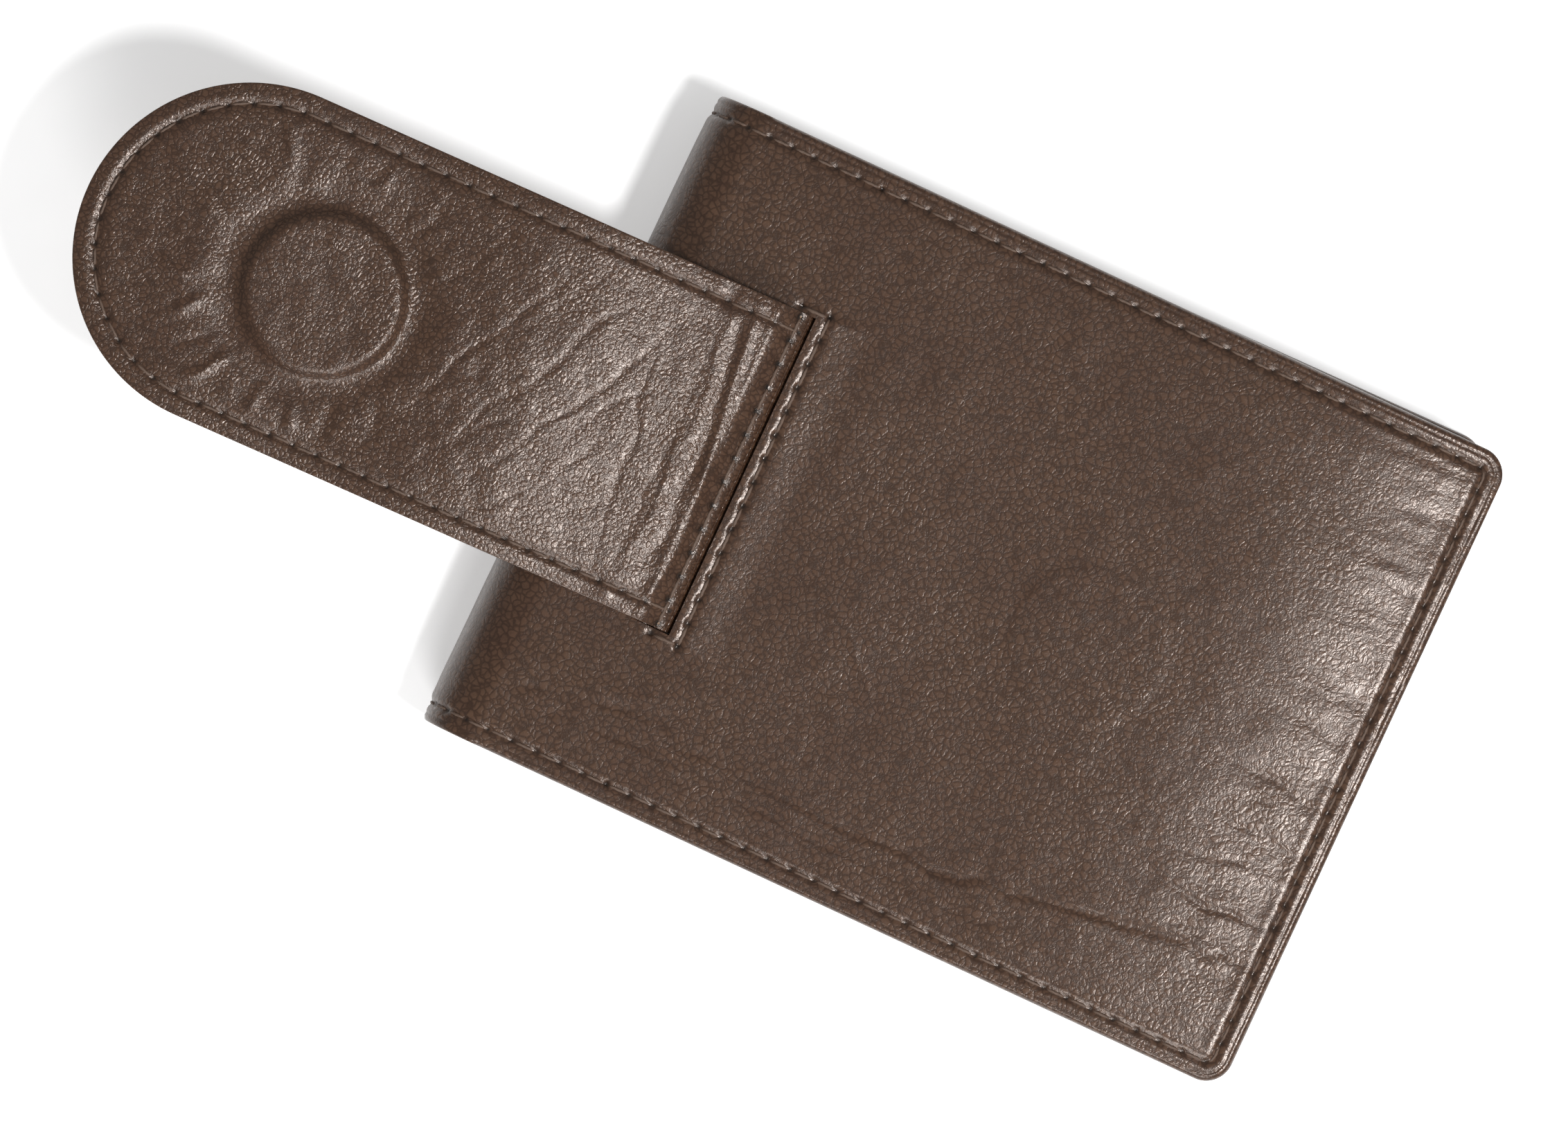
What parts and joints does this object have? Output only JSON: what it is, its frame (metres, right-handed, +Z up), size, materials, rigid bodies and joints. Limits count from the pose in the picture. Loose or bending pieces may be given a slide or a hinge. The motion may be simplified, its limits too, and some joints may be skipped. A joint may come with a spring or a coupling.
{
  "type": "leather billfold with magnetic money clip strap",
  "caption": "Closed leather bifold wallet with a stitched strap that comes through a slit in its cover and folds over to clip notes under a magnet, with card pockets inside.",
  "frame": {"origin": "middle of the closed billfold's width and height, on the outer face of the lower cover, which it rests on", "axes": "+X from the fold to the open edge, +Y along the fold towards the pockets' mouths, +Z up through the closed billfold to the strap"},
  "size_m": [0.1744, 0.086, 0.0248],
  "materials": {
    "cover_leather": "grained, satin",
    "strap_leather": "fine grain, satin",
    "lining_leather": "smooth, satin",
    "stiffener_board": "matt fibreboard",
    "cover_thread": "waxed thread",
    "lining_thread": "waxed thread",
    "magnet_plating": "bright nickel plating",
    "backing_felt": "matt felt",
    "window_film": "clear vinyl"
  },
  "bodies": {
    "lower_leaf": {"lower_cover": "cover_leather", "lower_board": "stiffener_board", "lower_inner_panel": "lining_leather", "lower_card_pocket_rear": "lining_leather", "lower_card_pocket_middle": "lining_leather", "id_window_frame": "lining_leather", "id_window_film": "window_film", "lower_edge_stitching": "cover_thread", "lower_pocket_stitching": "lining_thread"},
    "spine_lower": {"spine_cover_lower": "cover_leather", "spine_lining_lower": "lining_leather"},
    "spine_upper": {"spine_cover_upper": "cover_leather", "spine_lining_upper": "lining_leather"},
    "upper_leaf": {"upper_cover": "cover_leather", "upper_board": "stiffener_board", "base_magnet": "magnet_plating", "magnet_patch": "backing_felt", "upper_inner_panel": "lining_leather", "upper_card_pocket_rear": "lining_leather", "upper_card_pocket_middle": "lining_leather", "upper_card_pocket_front": "lining_leather", "upper_edge_stitching": "cover_thread", "upper_pocket_stitching": "lining_thread", "strap_root": "strap_leather", "slit_stitching": "cover_thread"},
    "strap": {"strap_face": "strap_leather", "strap_core": "stiffener_board", "strap_back": "strap_leather", "strap_magnet": "magnet_plating", "strap_stitching": "cover_thread"}
  },
  "joints": [
    {"name": "fold_open_lower", "type": "hinge", "parent": "lower_leaf", "child": "spine_lower", "pos_m": [-0.05053, 0, 0.0015], "axis": [0, -1, 0], "range_deg": [0, 60]},
    {"name": "fold_open_middle", "type": "hinge", "parent": "spine_lower", "child": "spine_upper", "pos_m": [-0.0539, 0, 0.00735], "axis": [0, -1, 0], "range_deg": [0, 60]},
    {"name": "fold_open_upper", "type": "hinge", "parent": "spine_upper", "child": "upper_leaf", "pos_m": [-0.05053, 0, 0.0132], "axis": [0, -1, 0], "range_deg": [0, 60]},
    {"name": "strap_fold", "type": "hinge", "parent": "upper_leaf", "child": "strap", "pos_m": [-0.036, 0, 0.0176], "axis": [0, 1, 0], "range_deg": [0, 176.2]}
  ],
  "couplings": [
    {"joint": "fold_open_middle", "follows": "fold_open_lower", "ratio": 1},
    {"joint": "fold_open_upper", "follows": "fold_open_lower", "ratio": 1}
  ]
}
